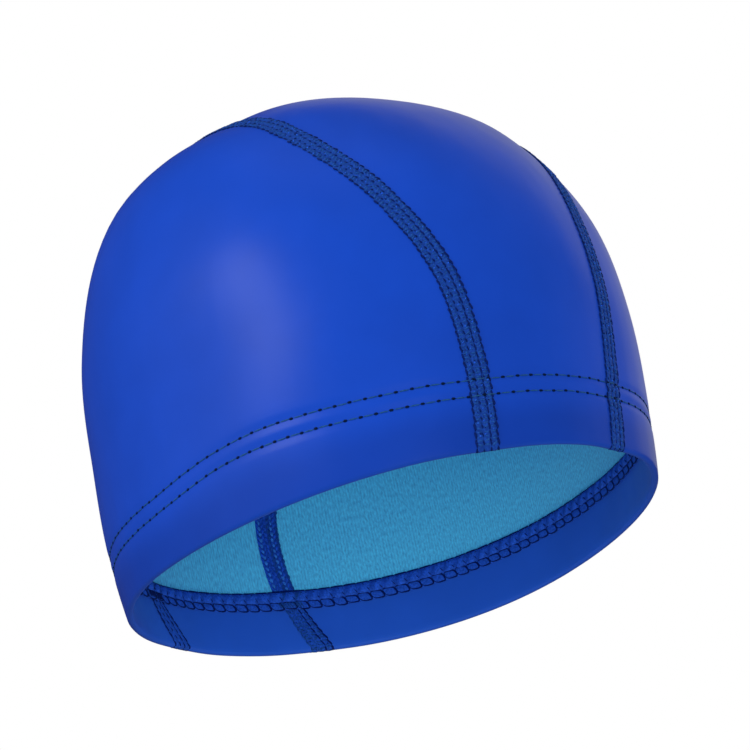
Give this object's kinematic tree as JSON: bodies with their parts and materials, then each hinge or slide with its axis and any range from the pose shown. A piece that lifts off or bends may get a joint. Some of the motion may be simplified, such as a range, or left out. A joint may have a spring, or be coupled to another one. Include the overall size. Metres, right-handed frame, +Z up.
{
  "type": "swim cap",
  "caption": "Stretch swim cap of coated knit: side and centre panels joined by flatlock seams over the crown, with a turned-in hem held by cover stitching.",
  "frame": {"origin": "centre of the head opening, at the mean height of the rim, where the cap sits round a head", "axes": "+X to the forehead, +Y to the wearer's left, +Z up through the crown"},
  "size_m": [0.1967, 0.1654, 0.1524],
  "materials": {
    "coated_knit": "satin coated face with a knit reverse",
    "seam_thread": "matte stretch thread",
    "cover_thread": "matte stretch thread"
  },
  "bodies": {
    "root": {"panel_right": "coated_knit", "panel_centre": "coated_knit", "panel_left": "coated_knit", "seam_right": "seam_thread", "seam_left": "seam_thread", "hem_cover_stitch": "cover_thread"}
  },
  "joints": []
}
